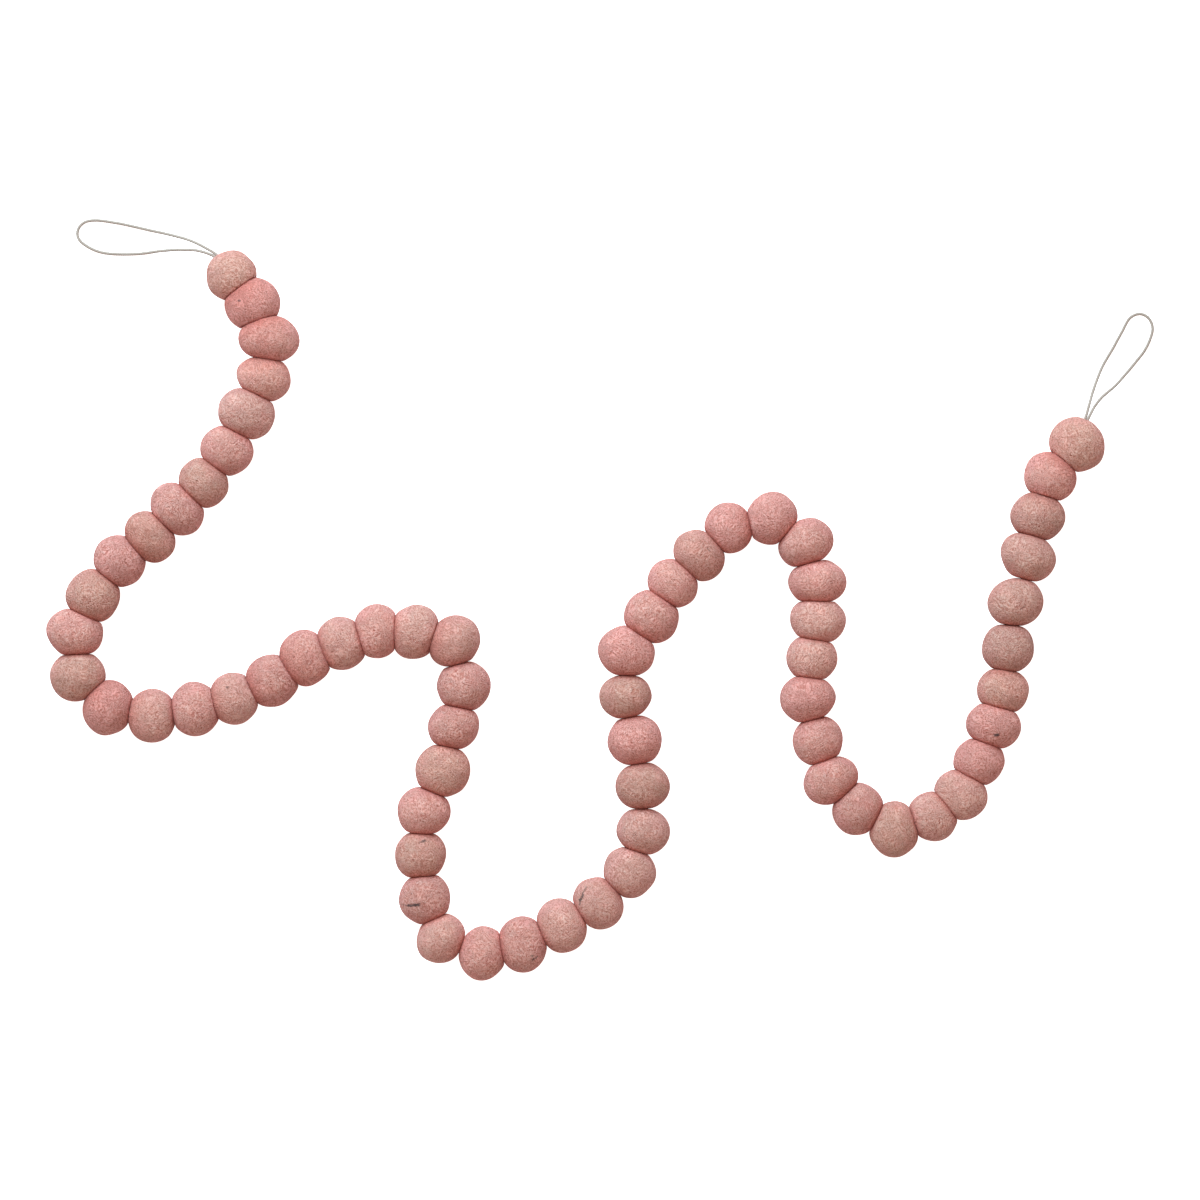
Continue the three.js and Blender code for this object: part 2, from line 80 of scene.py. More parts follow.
# One row for each ball, from the left end of the string: the place of its middle, its width
# across the string, its length along it before it is pressed, the angle of its width from +X in
# degrees, how much longer it is at that side, how far it gives way to the next ball, and its wool
BALL_COLUMNS = ("x", "y", "across", "along", "turn", "egg", "gives", "tint")
BALL_ROWS = (
    (-213.7, 210.7, 31.8, 30.6, 38, 0, 0.85, SAND),
    (-200.7, 193.1, 34.2, 34.0, 0, 0, 0.85, ROSE),
    (-190.3, 171.5, 38.0, 30.0, -8, 0, 0.85, ROSE),
    (-193.8, 147.2, 33.8, 28.5, -14, 0.08, 0.5, BLUSH),
    (-204.4, 125.3, 36.0, 32.0, -20, 0, 0.5, BLUSH),
    (-216.4, 102.5, 33.2, 31.0, -32, 0, 0.5, ROSE),
    (-231.1, 82.3, 32.5, 30.0, -42, 0, 0.5, SAND),
    (-247.3, 65.9, 35.6, 30.0, -44, 0, 0.5, ROSE),
    (-264.0, 48.8, 34.5, 28.8, -47, 0, 0.15, SAND),
    (-283.0, 33.8, 33.2, 31.5, -43, 0, 0.5, ROSE),
    (-299.4, 12.3, 33.7, 34.0, -32, 0, 0.4, SAND),
    (-310.8, -10.8, 35.7, 30.8, -10, 0, 0.4, ROSE),
    (-309.0, -37.6, 34.8, 31.5, 5, 0, 0.85, SAND),
    (-290.1, -57.1, 35.0, 31.0, 76, 0, 0.85, ROSE),
    (-262.8, -62.2, 33.8, 30.8, 88, 0, 0.5, BLUSH),
    (-236.0, -58.1, 34.0, 31.0, 94, 0, 0.8, ROSE),
    (-212.2, -51.5, 32.8, 31.0, 100, 0, 0.8, BLUSH),
    (-188.8, -40.3, 32.2, 34.0, 121, 0, 0.85, ROSE),
    (-168.0, -26.3, 35.3, 32.0, 106, 0, 0.75, ROSE),
    (-145.5, -17.5, 33.3, 32.0, 110, 0, 0.5, BLUSH),
    (-123.3, -9.7, 34.1, 29.5, 88, 0, 0.7, ROSE),
    (-100.2, -10.0, 33.9, 31.5, 78, 0, 0.85, BLUSH),
    (-75.6, -16.1, 34.5, 31.0, 45, 0, 0.5, BLUSH),
    (-69.8, -43.9, 33.4, 32.0, 6, 0.06, 0.5, ROSE),
    (-75.9, -68.8, 32.7, 29.5, 8, 0, 0.5, ROSE),
    (-82.5, -96.1, 34.2, 33.5, -15, 0, 0.5, SAND),
    (-94.2, -121.5, 33.0, 30.5, 6, -0.06, 0.5, ROSE),
    (-96.4, -148.6, 31.7, 31.3, 4, 0, 0.4, SAND),
    (-93.8, -175.5, 32.0, 32.5, -5, 0, 0.6, ROSE),
    (-83.6, -200.1, 32.0, 29.5, 54, 0, 0.5, BLUSH),
    (-58.0, -209.4, 33.5, 30.0, 82, 0, 0.7, ROSE),
    (-33.2, -203.7, 35.6, 31.0, 94, 0, 0.7, ROSE),
    (-8.8, -192.1, 35.0, 31.0, 116, 0, 0.5, BLUSH),
    (13.8, -178.3, 34.1, 30.0, 125, 0, 0.3, BLUSH),
    (33.3, -159.0, 32.7, 32.0, -32, 0, 0.6, BLUSH),
    (41.8, -133.8, 33.2, 29.8, -6, 0, 0.5, BLUSH),
    (41.2, -105.7, 33.6, 30.3, 3, 0, 0.5, SAND),
    (36.4, -77.3, 34.0, 32.0, 11, 0, 0.5, ROSE),
    (30.5, -50.3, 33.0, 28.6, 6, 0, 0.5, SAND),
    (31.3, -22.3, 35.5, 32.2, -12, 0, 0.75, ROSE),
    (46.8, -0.7, 34.4, 33.0, -32, 0, 0.5, ROSE),
    (60.0, 20.0, 32.6, 30.0, -38, 0, 0.5, ROSE),
    (76.2, 37.4, 33.6, 30.5, -44, 0, 0.6, SAND),
    (95.0, 54.3, 32.0, 30.1, 112, 0, 0.25, ROSE),
    (121.3, 60.3, 33.3, 31.4, 42, 0, 0.5, ROSE),
    (142.5, 45.1, 35.3, 29.5, 28, 0, 0.5, ROSE),
    (149.8, 20.6, 36.3, 28.6, 3, 0, 0.4, ROSE),
    (150.0, -3.2, 34.8, 29.7, -10, 0, 0.5, BLUSH),
    (146.1, -26.4, 32.0, 30.2, -16, 0, 0.6, BLUSH),
    (143.7, -51.4, 34.5, 30.2, 4, -0.05, 0.5, ROSE),
    (150.0, -77.6, 31.2, 32.0, -20, 0, 0.5, ROSE),
    (157.9, -102.1, 34.8, 29.5, 26, 0, 0.25, ROSE),
    (174.7, -119.8, 33.3, 31.0, 48, 0, 0.35, ROSE),
    (197.2, -132.4, 35.3, 30.5, 92, -0.06, 0.5, SAND),
    (221.2, -124.4, 31.5, 30.5, 115, 0, 0.4, BLUSH),
    (238.4, -110.9, 33.7, 31.0, -30, 0, 0.4, BLUSH),
    (249.9, -90.4, 32.0, 30.5, 5, 0, 0.5, ROSE),
    (258.8, -68.0, 34.5, 29.5, -14, 0, 0.5, ROSE),
    (264.6, -46.8, 32.3, 29.5, -10, 0, 0.3, SAND),
    (268.1, -20.4, 32.4, 31.5, 0, 0, 0.5, CLAY),
    (272.4, 8.3, 34.9, 30.5, 13, 0, 0.5, CLAY),
    (280.2, 36.5, 35.6, 29.5, -28, 0, 0.5, CLAY),
    (286.4, 61.5, 33.9, 31.0, -5, 0, 0.2, CLAY),
    (294.1, 86.0, 33.2, 31.0, -28, 0, 0.2, ROSE),
    (310.7, 106.0, 35.4, 33.3, -45, 0, 0.5, SAND),
)

# Balls that share one solid with the next one
JOINED_TO_NEXT = (2, 18, 24, 31, 40, 46, 50, 57)

# Balls whose dye took lighter, deeper or pinker than the rest of their wool
LIGHTER_BALLS = (1, 4, 21, 26, 27, 30, 31, 33, 38, 40, 42, 47, 48, 49, 61, 62, 64, 65)
DEEPER_BALLS = (5, 7, 8, 9, 10, 11, 13, 14, 18, 23, 24, 29, 36, 37, 39, 43, 53, 60)
PINKER_BALLS = (2, 10, 14, 38, 40, 43, 44, 45, 50, 57, 58)

# Dark fibres felted into a ball's top: the ball, the ends of the wisp, its width and how dark it is
WISP_COLUMNS = ("ball", "start", "end", "width", "strength")
WISP_ROWS = (
    (29, (-107.6, -178.9), (-102.5, -179.4), 0.9, 0.45),
    (29, (-103.5, -179.2), (-97.2, -178.6), 1.7, 0.85),
    (29, (-98.6, -178.8), (-96.2, -177.6), 1.0, 0.7),
    (34, (6.4, -168.0), (4.2, -171.8), 1.0, 0.6),
    (34, (4.4, -172.2), (3.0, -175.4), 1.5, 0.8),
    (34, (2.8, -175.2), (2.4, -178.4), 1.1, 0.65),
    (58, (258.6, -73.8), (260.6, -73.2), 2.0, 0.9),
    (28, (-96.6, -140.2), (-92.8, -138.8), 1.2, 0.5),
    (28, (-94.6, -139.6), (-93.0, -139.0), 1.6, 0.55),
    (2, (-207.8, 194.4), (-207.2, 194.0), 1.4, 0.75),
    (17, (-215.2, -44.4), (-214.6, -44.0), 1.4, 0.65),
    (32, (-26.8, -212.6), (-26.0, -212.0), 1.4, 0.75),
    (32, (-24.6, -211.6), (-24.2, -210.6), 1.2, 0.75),
    (32, (-27.2, -210.2), (-26.8, -209.8), 1.0, 0.6),
    (43, (81.4, 41.2), (82.6, 39.8), 0.9, 0.6),
    (61, (274.6, 4.2), (277.4, 6.2), 0.8, 0.4),
)

# The string's way out of the end balls, in degrees from +X, and the loops' routes
EXIT_TURNS = {End.LEFT: 128, End.RIGHT: 70}
LOOP_ROUTES = {
    End.LEFT: (
        (-231.5, 229.0, 14.2),
        (-240.0, 233.1, 9.5),
        (-250.5, 236.4, 4.6),
        (-266.5, 240.2, 1.5),
        (-286.5, 244.6, 0.9),
        (-300.6, 246.2, 0.9),
        (-306.4, 244.9, 0.9),
        (-309.7, 241.8, 0.9),
        (-310.8, 237.9, 0.9),
        (-309.6, 234.2, 0.9),
        (-305.6, 230.6, 0.9),
        (-298.4, 227.0, 0.9),
        (-290.4, 225.4, 0.9),
        (-272.9, 225.3, 1.0),
        (-258.0, 227.0, 3.2),
        (-246.2, 227.3, 8.0),
        (-233.8, 226.2, 13.6),
    ),
    End.RIGHT: (
        (318.3, 130.6, 14.6),
        (320.8, 138.2, 10.6),
        (324.6, 148.0, 5.6),
        (328.4, 156.2, 2.2),
        (334.2, 165.9, 0.9),
        (339.9, 176.3, 0.9),
        (345.4, 185.6, 0.9),
        (351.4, 187.9, 0.9),
        (356.6, 185.4, 0.9),
        (359.2, 179.4, 0.9),
        (358.1, 173.4, 0.9),
        (354.5, 165.5, 0.9),
        (349.1, 158.4, 0.9),
        (341.5, 149.4, 2.4),
        (335.3, 142.8, 6.0),
        (326.5, 135.4, 11.2),
        (322.0, 130.0, 14.0),
    ),
}


def level(degrees: float) -> np.ndarray:
    """A level unit vector at an angle from +X."""
    return np.array([math.cos(math.radians(degrees)), math.sin(math.radians(degrees)), 0.0])


def linked(obj: bpy.types.Object, tint_slot: str, *nodes: str) -> bpy.types.Object:
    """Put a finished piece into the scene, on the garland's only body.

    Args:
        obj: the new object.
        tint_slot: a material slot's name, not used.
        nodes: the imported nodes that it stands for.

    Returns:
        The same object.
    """
    bpy.context.scene.collection.objects.link(obj)
    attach(obj, "root")
    if nodes:
        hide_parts(*nodes)
    return obj


def smooth_mesh(name: str, points: np.ndarray, faces: list) -> bpy.types.Mesh:
    """Make a smooth-shaded mesh.

    Args:
        name: the mesh's name.
        points: its points, in metres.
        faces: its faces, as lists of point numbers.

    Returns:
        The mesh.
    """
    mesh = bpy.data.meshes.new(name)
    mesh.from_pydata(points.tolist(), [], faces)
    mesh.polygons.foreach_set("use_smooth", np.ones(len(mesh.polygons), bool))
    mesh.update()
    return mesh


class NodeSheet:
    """A node tree with short ways to add nodes and join them."""

    def __init__(self, tree: bpy.types.NodeTree) -> None:
        """Keep the tree that the nodes go into."""
        self.tree = tree

    def add(self, kind: str, inputs: dict | None = None, **settings: object) -> bpy.types.Node:
        """Add a node.

        Args:
            kind: the node type's name without its ShaderNode prefix.
            inputs: values or output sockets for its inputs, by name or number.
            settings: the node's own properties.

        Returns:
            The node.
        """
        node = self.tree.nodes.new("ShaderNode" + kind)
        for name, value in settings.items():
            setattr(node, name, value)
        for key, value in (inputs or {}).items():
            if isinstance(value, bpy.types.NodeSocket):
                self.tree.links.new(value, node.inputs[key])
            else:
                node.inputs[key].default_value = value
        return node

    def maths(self, operation: str, *values: object) -> bpy.types.NodeSocket:
        """Add a Math node and return its output."""
        return self.add("Math", dict(enumerate(values)), operation=operation).outputs[0]

    def vector_maths(self, operation: str, *values: object) -> bpy.types.NodeSocket:
        """Add a Vector Math node and return its first output."""
        return self.add("VectorMath", dict(enumerate(values)), operation=operation).outputs[0]

    def ramp(self, value: bpy.types.NodeSocket, low: float, high: float) -> bpy.types.NodeSocket:
        """Spread a value between two limits smoothly over 0 to 1, and return it."""
        limits = {"Value": value, "From Min": low, "From Max": high}
        return self.add("MapRange", limits, interpolation_type="SMOOTHSTEP").outputs["Result"]

    def clamped(self, value: bpy.types.NodeSocket) -> bpy.types.NodeSocket:
        """Keep a value between 0 and 1, and return it."""
        return self.add("Clamp", {"Value": value}).outputs[0]

    def noise(
        self, place: bpy.types.NodeSocket, scale: object, detail: float, roughness: float = 0.5
    ) -> bpy.types.Node:
        """Add a noise over a place, its scale in waves to a metre, and return its node."""
        settings = {"Vector": place, "Scale": scale, "Detail": detail, "Roughness": roughness}
        return self.add("TexNoise", settings)

    def pushed(
        self, place: bpy.types.NodeSocket, noise: bpy.types.Node, amount: object
    ) -> bpy.types.NodeSocket:
        """Push a place about by a noise's colour.

        Args:
            place: the place to push.
            noise: the noise.
            amount: how far it pushes, in metres.

        Returns:
            The pushed place.
        """
        centred = self.vector_maths("SUBTRACT", noise.outputs["Color"], (0.5, 0.5, 0.5))
        push = self.add("VectorMath", {0: centred, "Scale": amount}, operation="SCALE").outputs[0]
        return self.vector_maths("ADD", place, push)

    def mix(
        self, factor: object, first: object, second: object, blend: str = "MIX"
    ) -> bpy.types.NodeSocket:
        """Mix two colours and return the result."""
        inputs = {0: factor, 6: first, 7: second}
        return self.add("Mix", inputs, data_type="RGBA", blend_type=blend).outputs[2]

    def feed(self, value: bpy.types.NodeSocket, target: bpy.types.NodeSocket) -> None:
        """Join an output to an input."""
        self.tree.links.new(value, target)


@dataclass(frozen=True)
class FibrePattern:
    """How matted fibres lie: scales are waves to a metre, and rises are shares of the bump."""

    swirl_scale: float = 75.0
    swirl_detail: float = 1.5
    stroke_tilts: tuple = ((0.5, 0.3, 0.4), (1.1, -0.5, 1.9), (-0.6, 0.9, 2.9))
    stroke_detail: float = 2.5
    stroke_roughness: float = 0.6
    stroke_range: tuple = (0.51, 0.70)
    stroke_rise: float = 0.75
    grain_fineness: float = 1.5
    grain_detail: float = 3.0
    grain_roughness: float = 0.7
    grain_range: tuple = (0.395, 0.605)
    grain_rise: float = 0.55
    pit_fineness: float = 0.62
    pit_least: float = 0.04
    pit_spread: float = 0.34
    pit_edge: tuple = (0.3, 1.0)
    pit_rise: float = -0.22
    arc_turns: float = 86.0
    arc_scale: float = 120.0
    arc_range: tuple = (0.42, 0.6)
    arc_depth: float = 0.09


class Groups:
    """The effects that several materials share, each built once."""

    made: dict = {}
    patch_edge: float = 0.17
    ragged_scale: float = 900.0
    ragged_push: float = 0.0022
    wisp_edge: tuple = (0.15, 0.75)

    @classmethod
    def start(cls, name: str, inputs: dict, outputs: dict) -> tuple:
        """Begin a shader node group.

        Args:
            name: the group's name.
            inputs: socket types and starting values, by name.
            outputs: socket types, by name.

        Returns:
            The group's tree, its sheet, its input node and its output node.
        """
        tree = bpy.data.node_groups.new(name, "ShaderNodeTree")
        for socket_name, (kind, value) in inputs.items():
            socket = tree.interface.new_socket(socket_name, in_out="INPUT", socket_type=kind)
            if value is not None:
                socket.default_value = value
        for socket_name, kind in outputs.items():
            tree.interface.new_socket(socket_name, in_out="OUTPUT", socket_type=kind)
        given = tree.nodes.new("NodeGroupInput")
        result = tree.nodes.new("NodeGroupOutput")
        return tree, NodeSheet(tree), given, result

    @classmethod
    def fibres(cls) -> bpy.types.NodeTree:
        """Matted fibres that swirl over a surface, as strokes, grain with arcs, pits and height.

        Returns:
            The group's tree.
        """
        if "fibres" in cls.made:
            return cls.made["fibres"]
        tree, sheet, given, result = cls.start(
            "Matted Fibres",
            {
                "Vector": ("NodeSocketVector", None),
                "Fibre Width": ("NodeSocketFloat", 0.001),
                "Swirl": ("NodeSocketFloat", 0.012),
                "Stroke": ("NodeSocketFloat", 0.2),
                "Arcs": ("NodeSocketFloat", 0.0),
            },
            {
                "Strokes": "NodeSocketFloat",
                "Grain": "NodeSocketFloat",
                "Pits": "NodeSocketFloat",
                "Height": "NodeSocketFloat",
            },
        )
        lie = FibrePattern()
        place = given.outputs["Vector"]
        turns = sheet.noise(place, lie.swirl_scale, lie.swirl_detail)
        warped = sheet.pushed(place, turns, given.outputs["Swirl"])
        fineness = sheet.maths("DIVIDE", 1.0, given.outputs["Fibre Width"])
        layers = []
        for tilt in lie.stroke_tilts:
            turn = {"Vector": warped, "Rotation": tilt}
            turned = sheet.add("VectorRotate", turn, rotation_type="EULER_XYZ").outputs[0]
            long = sheet.add("CombineXYZ", {0: given.outputs["Stroke"], 1: 1.0, 2: 1.0}).outputs[0]
            drawn = sheet.vector_maths("MULTIPLY", turned, long)
            layer = sheet.noise(drawn, fineness, lie.stroke_detail, lie.stroke_roughness)
            layers.append(layer.outputs["Fac"])
        strokes = sheet.maths("MAXIMUM", sheet.maths("MAXIMUM", layers[0], layers[1]), layers[2])
        finer = sheet.maths("MULTIPLY", fineness, lie.grain_fineness)
        grain = sheet.noise(warped, finer, lie.grain_detail, lie.grain_roughness)
        wider = sheet.maths("MULTIPLY", fineness, lie.pit_fineness)
        cells = sheet.add("TexVoronoi", {"Vector": warped, "Scale": wider, "Randomness": 1.0})
        chosen = sheet.add("SeparateColor", {0: cells.outputs["Color"]}).outputs[0]
        reach = sheet.maths("MULTIPLY_ADD", chosen, lie.pit_spread, lie.pit_least)
        away = sheet.maths("DIVIDE", cells.outputs["Distance"], reach)
        pits = sheet.maths("SUBTRACT", 1.0, sheet.ramp(away, *lie.pit_edge))
        lines = sheet.maths("SINE", sheet.maths("MULTIPLY", turns.outputs["Fac"], lie.arc_turns))
        places = sheet.noise(warped, lie.arc_scale, 1.0).outputs["Fac"]
        shown = sheet.maths("MULTIPLY", sheet.ramp(places, *lie.arc_range), given.outputs["Arcs"])
        arcs = sheet.maths("MULTIPLY", lines, shown)
        fine = sheet.maths("MULTIPLY_ADD", arcs, lie.arc_depth, grain.outputs["Fac"])
        risen = sheet.maths("MULTIPLY", strokes, lie.stroke_rise)
        raised = sheet.maths("MULTIPLY_ADD", fine, lie.grain_rise, risen)
        height = sheet.maths("MULTIPLY_ADD", pits, lie.pit_rise, raised)
        sheet.feed(sheet.ramp(strokes, *lie.stroke_range), result.inputs["Strokes"])
        sheet.feed(sheet.ramp(fine, *lie.grain_range), result.inputs["Grain"])
        sheet.feed(pits, result.inputs["Pits"])
        sheet.feed(height, result.inputs["Height"])
        cls.made["fibres"] = tree
        return tree

    @classmethod
    def patches(cls) -> bpy.types.NodeTree:
        """Soft uneven dyeing, in patches over a ball.

        Returns:
            The group's tree.
        """
        if "patches" in cls.made:
            return cls.made["patches"]
        tree, sheet, given, result = cls.start(
            "Uneven Dye",
            {"Vector": ("NodeSocketVector", None), "Patch Size": ("NodeSocketFloat", 0.009)},
            {"Patches": "NodeSocketFloat"},
        )
        scale = sheet.maths("DIVIDE", 1.0, given.outputs["Patch Size"])
        patches = sheet.noise(given.outputs["Vector"], scale, detail=3.0, roughness=0.55)
        shown = sheet.ramp(patches.outputs["Fac"], 0.5 - cls.patch_edge, 0.5 + cls.patch_edge)
        sheet.feed(shown, result.inputs["Patches"])
        cls.made["patches"] = tree
        return tree

    @classmethod
    def wisp(cls) -> bpy.types.NodeTree:
        """A ragged wisp between two places, seen from above: 1 on it and 0 away from it.

        Returns:
            The group's tree.
        """
        if "wisp" in cls.made:
            return cls.made["wisp"]
        tree, sheet, given, result = cls.start(
            "Dark Wisp",
            {
                "Vector": ("NodeSocketVector", None),
                "Start": ("NodeSocketVector", (0.0, 0.0, 0.0)),
                "End": ("NodeSocketVector", (0.001, 0.0, 0.0)),
                "Width": ("NodeSocketFloat", 0.001),
                "Height Of Middle": ("NodeSocketFloat", 0.016),
            },
            {"Mask": "NodeSocketFloat"},
        )
        ragged = sheet.noise(given.outputs["Vector"], cls.ragged_scale, 2.0)
        place = sheet.pushed(given.outputs["Vector"], ragged, cls.ragged_push)
        flat = sheet.vector_maths("MULTIPLY", place, (1.0, 1.0, 0.0))
        away = sheet.vector_maths("SUBTRACT", flat, given.outputs["Start"])
        run = sheet.vector_maths("SUBTRACT", given.outputs["End"], given.outputs["Start"])
        along = sheet.add("VectorMath", {0: away, 1: run}, operation="DOT_PRODUCT").outputs["Value"]
        whole = sheet.add("VectorMath", {0: run, 1: run}, operation="DOT_PRODUCT").outputs["Value"]
        share = sheet.clamped(sheet.maths("DIVIDE", along, whole))
        nearest = sheet.add("VectorMath", {0: run, "Scale": share}, operation="SCALE").outputs[0]
        left = sheet.vector_maths("SUBTRACT", away, nearest)
        distance = sheet.add("VectorMath", {0: left}, operation="LENGTH").outputs["Value"]
        close = sheet.maths("DIVIDE", distance, given.outputs["Width"])
        on_it = sheet.maths("SUBTRACT", 1.0, sheet.ramp(close, *cls.wisp_edge))
        up = sheet.add("SeparateXYZ", {0: given.outputs["Vector"]}).outputs["Z"]
        upper = sheet.maths("GREATER_THAN", up, given.outputs["Height Of Middle"])
        sheet.feed(sheet.maths("MULTIPLY", on_it, upper), result.inputs["Mask"])
        cls.made["wisp"] = tree
        return tree


@dataclass(frozen=True)
class Wisp:
    """Some dark fibres felted into the top of one ball."""

    ball: int
    start: tuple
    end: tuple
    width: float
    strength: float


@dataclass(frozen=True)
class WoolFinish:
    """Dyed wool felt: a dry, matted, slightly uneven surface.

    Widths and heights are in metres, and the other numbers are shares from 0 to 1. Its colour also holds
    a painted top light and painted shade in the creases, at the low rims and partly in the grain's
    hollows.
    """

    tint: Tint
    # crown and flush: the top's and the sides' colours; the top sandier and the sides pinker is partly
    # the dye and partly painted light, by which way the surface faces
    crown: tuple
    flush: tuple
    pale: tuple
    # shade: the darkest colour, for the grain's hollows and pits, partly the wool's mottle and partly
    # painted shade, and for painted shade at the crease bottoms
    shade: tuple
    # deep: the painted shade colour for the creases and the low rims
    deep: tuple
    fibre_width: float = 0.00115
    patch_size: float = 0.011
    bump_height: float = 0.0017
    wisp_colour: tuple = (0.052, 0.040, 0.038, 1.0)
    arcs: float = 0.7
    painted_top_light_range: tuple = (0.25, 1.0)
    wandering: float = 0.8
    pinker_share: float = 0.6
    plain_strokes: float = 0.25
    sandy_strokes: float = 0.2
    # How far the painted shade goes: the creases and the low rims towards deep, the hollows and pits
    # (partly mottle) and the crease bottoms towards shade
    painted_crease_shade_share: float = 0.85
    painted_rim_shade_range: tuple = (0.05, 0.6)
    painted_rim_shade_share: float = 0.12
    pit_mottle_and_shade: float = 0.6
    hollow_mottle_and_shade: float = 0.78
    crease_shade: float = 0.55
    roughest: float = 0.98
    smoothest: float = 0.86
    specular: float = 0.25
    sheen: float = 0.12
    sheen_roughness: float = 0.55

    def material(self, wisps: tuple = ()) -> bpy.types.Material:
        """Build the wool's material.

        Args:
            wisps: the dark wisps in this ball.

        Returns:
            The material.
        """
        name = self.tint.value if not wisps else f"{self.tint.value}_wisp_{wisps[0].ball:02d}"
        material = bpy.data.materials.new(name)
        material.use_nodes = True
        sheet = NodeSheet(material.node_tree)
        wool = material.node_tree.nodes["Principled BSDF"]
        place = sheet.add("TexCoord").outputs["Object"]
        fibres = sheet.add("Group", node_tree=Groups.fibres())
        fibres.inputs["Fibre Width"].default_value = self.fibre_width
        fibres.inputs["Arcs"].default_value = self.arcs
        sheet.feed(place, fibres.inputs["Vector"])
        dye = sheet.add("Group", node_tree=Groups.patches())
        dye.inputs["Patch Size"].default_value = self.patch_size
        sheet.feed(place, dye.inputs["Vector"])
        colour = self.colour(sheet, fibres, dye)
        for wisp in wisps:
            colour = self.with_wisp(sheet, place, colour, wisp)
        sheet.feed(colour, wool.inputs["Base Color"])
        dryness = {"Value": fibres.outputs["Grain"], "To Min": self.roughest, "To Max": self.smoothest}
        roughness = sheet.add("MapRange", dryness)
        sheet.feed(roughness.outputs["Result"], wool.inputs["Roughness"])
        bump = sheet.add("Bump", {"Strength": 1.0, "Distance": self.bump_height})
        sheet.feed(fibres.outputs["Height"], bump.inputs["Height"])
        sheet.feed(bump.outputs["Normal"], wool.inputs["Normal"])
        wool.inputs["Specular IOR Level"].default_value = self.specular
        wool.inputs["Sheen Weight"].default_value = self.sheen
        wool.inputs["Sheen Roughness"].default_value = self.sheen_roughness
        wool.inputs["Sheen Tint"].default_value = self.pale
        return material

    def given(self, sheet: NodeSheet, name: str) -> bpy.types.NodeSocket:
        """A value that the ball's mesh holds, by name."""
        return sheet.add("Attribute", attribute_name=name, attribute_type="GEOMETRY").outputs["Fac"]

    def colour(
        self, sheet: NodeSheet, fibres: bpy.types.Node, dye: bpy.types.Node
    ) -> bpy.types.NodeSocket:
        """Mix the wool's colours.

        Args:
            sheet: the material's nodes.
            fibres: the matted fibres group.
            dye: the uneven dye group.

        Returns:
            The colour output.
        """
        up = sheet.add("SeparateXYZ", {0: sheet.add("NewGeometry").outputs["Normal"]}).outputs["Z"]
        # Partly painted light: the top goes sandier and the sides pinker by which way the surface faces,
        # mixed with the dye's uneven patches and the pinker balls
        top = sheet.ramp(up, *self.painted_top_light_range)
        patches = dye.outputs["Patches"]
        wandering = sheet.maths("MULTIPLY_ADD", patches, self.wandering, -self.wandering / 2)
        plain = sheet.maths("MULTIPLY_ADD", self.given(sheet, PINKER), -self.pinker_share, 1.0)
        dye_and_painted_top_light = sheet.maths("MULTIPLY", sheet.clamped(sheet.maths("ADD", top, wandering)), plain)
        colour = sheet.mix(dye_and_painted_top_light, self.flush, self.crown)
        share = sheet.maths("MULTIPLY_ADD", dye_and_painted_top_light, self.sandy_strokes, self.plain_strokes)
        paler = sheet.maths("MULTIPLY", fibres.outputs["Strokes"], share)
        colour = sheet.mix(paler, colour, self.pale)
        # Painted shade: redder and darker towards the creases between balls
        crease = sheet.maths("MULTIPLY", self.given(sheet, PAINTED_CREASE_SHADE), self.painted_crease_shade_share)
        colour = sheet.mix(crease, colour, self.deep)
        # Painted shade: darker and redder at the low rims, where the surface faces sideways and down
        painted_rim_shade = sheet.maths("SUBTRACT", 1.0, sheet.ramp(up, *self.painted_rim_shade_range))
        colour = sheet.mix(sheet.maths("MULTIPLY", painted_rim_shade, self.painted_rim_shade_share), colour, self.deep)
        # The grain's hollows and pits go darker, partly the wool's own mottle and partly painted shade;
        # the crease bottoms get deeper painted shade
        hollow = sheet.maths("SUBTRACT", 1.0, fibres.outputs["Grain"])
        shaded = sheet.maths("MULTIPLY", hollow, self.hollow_mottle_and_shade)
        deeper = sheet.maths("MULTIPLY_ADD", fibres.outputs["Pits"], self.pit_mottle_and_shade, shaded)
        crease_bottom_mask = sheet.maths("POWER", crease, 3.0)
        bottom = sheet.maths("MULTIPLY_ADD", crease_bottom_mask, self.crease_shade, deeper)
        colour = sheet.mix(sheet.clamped(bottom), colour, self.shade)
        tone = self.given(sheet, TONE)
        grey = sheet.add("CombineXYZ", {0: tone, 1: tone, 2: tone})
        return sheet.mix(1.0, colour, grey.outputs[0], "MULTIPLY")

    def with_wisp(
        self, sheet: NodeSheet, place: bpy.types.NodeSocket, colour: bpy.types.NodeSocket, wisp: Wisp
    ) -> bpy.types.NodeSocket:
        """Lay one dark wisp over the wool's colour.

        Args:
            sheet: the material's nodes.
            place: the object coordinates.
            colour: the wool's colour output.
            wisp: the wisp.

        Returns:
            The colour output with the wisp.
        """
        node = sheet.add("Group", node_tree=Groups.wisp())
        sheet.feed(place, node.inputs["Vector"])
        node.inputs["Start"].default_value = (wisp.start[0] * MM, wisp.start[1] * MM, 0.0)
        node.inputs["End"].default_value = (wisp.end[0] * MM, wisp.end[1] * MM, 0.0)
        node.inputs["Width"].default_value = wisp.width * MM
        factor = sheet.maths("MULTIPLY", node.outputs["Mask"], wisp.strength)
        return sheet.mix(factor, colour, self.wisp_colour)


